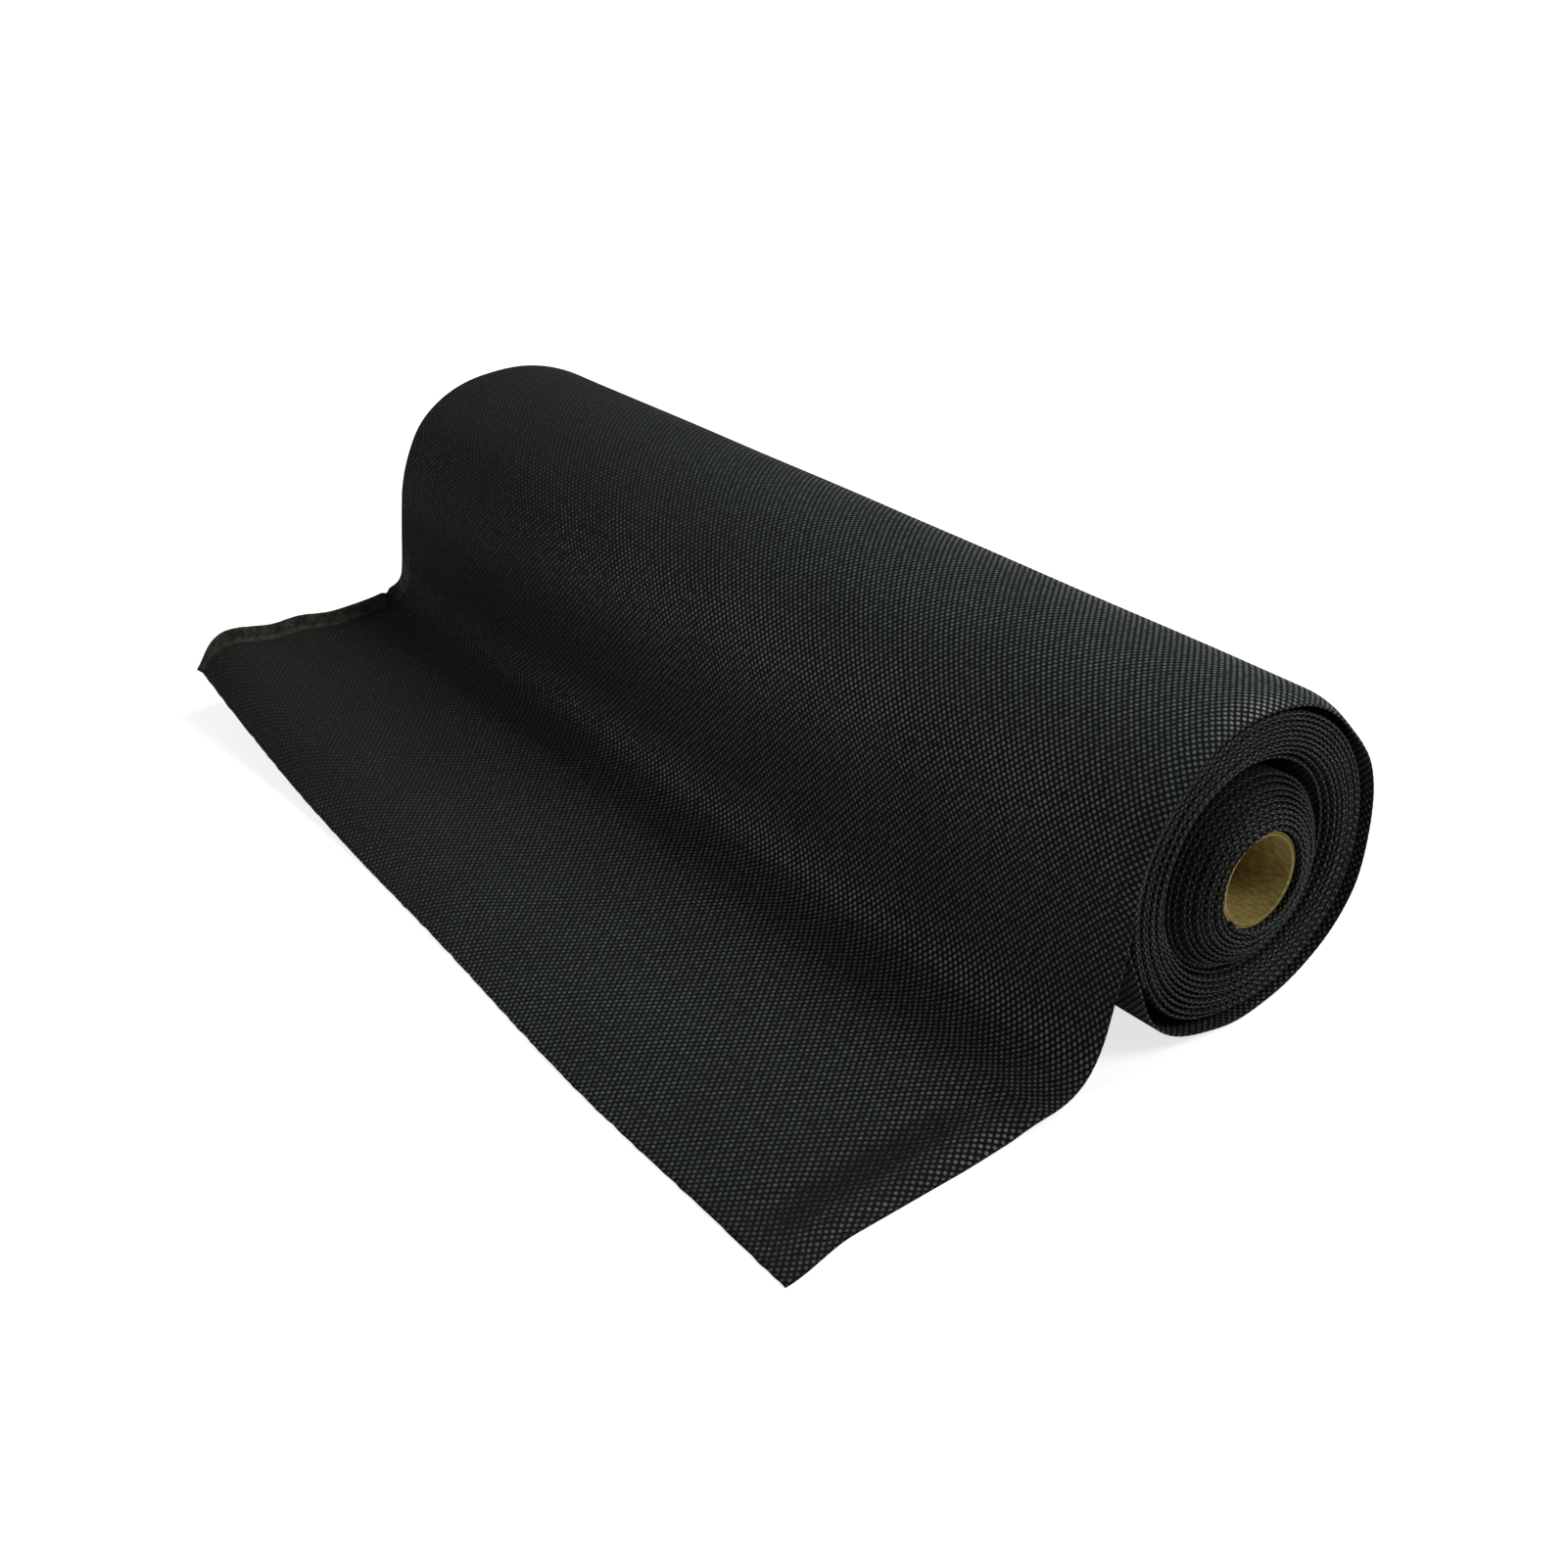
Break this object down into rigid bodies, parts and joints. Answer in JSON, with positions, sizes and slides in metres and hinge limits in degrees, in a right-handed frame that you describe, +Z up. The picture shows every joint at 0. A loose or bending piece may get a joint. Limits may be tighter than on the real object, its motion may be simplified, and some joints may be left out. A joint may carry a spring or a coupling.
{
  "type": "weed mat roll",
  "caption": "Roll of black nonwoven weed mat on a kraft core, its turns telescoped, with the free end paid out on the ground.",
  "frame": {"origin": "on the ground, under the middle of the roll, at the centre of the strip that the roll rests on", "axes": "+X along the core to the near end, where the inner turns stand proud; -Y the side the mat is paid out to; +Z up"},
  "size_m": [0.5085, 0.2879, 0.1287],
  "materials": {
    "nonwoven_mat": "matte",
    "core_board": "matte",
    "starter_tape": "satin"
  },
  "bodies": {
    "outer_wrap": {"mat_outer_wrap": "nonwoven_mat"},
    "roll": {"mat_outer_turns": "nonwoven_mat"},
    "core": {"core_inner_ply": "core_board", "core_outer_ply": "core_board", "starter_tape": "starter_tape", "mat_inner_turns": "nonwoven_mat"},
    "free_end": {"mat_free_end": "nonwoven_mat"}
  },
  "joints": [
    {"name": "roll_turn", "type": "hinge", "parent": "outer_wrap", "child": "roll", "pos_m": [0, 0, 0.06385], "axis": [1, 0, 0], "continuous": true},
    {"name": "core_slide", "type": "slide", "parent": "roll", "child": "core", "axis": [1, 0, 0], "range_m": [-0.0055, 0.05]},
    {"name": "free_end_lift", "type": "hinge", "parent": "outer_wrap", "child": "free_end", "pos_m": [0, -0.102, 0.0157], "axis": [-0.9991, 0, 0.042], "range_deg": [0, 90]}
  ]
}
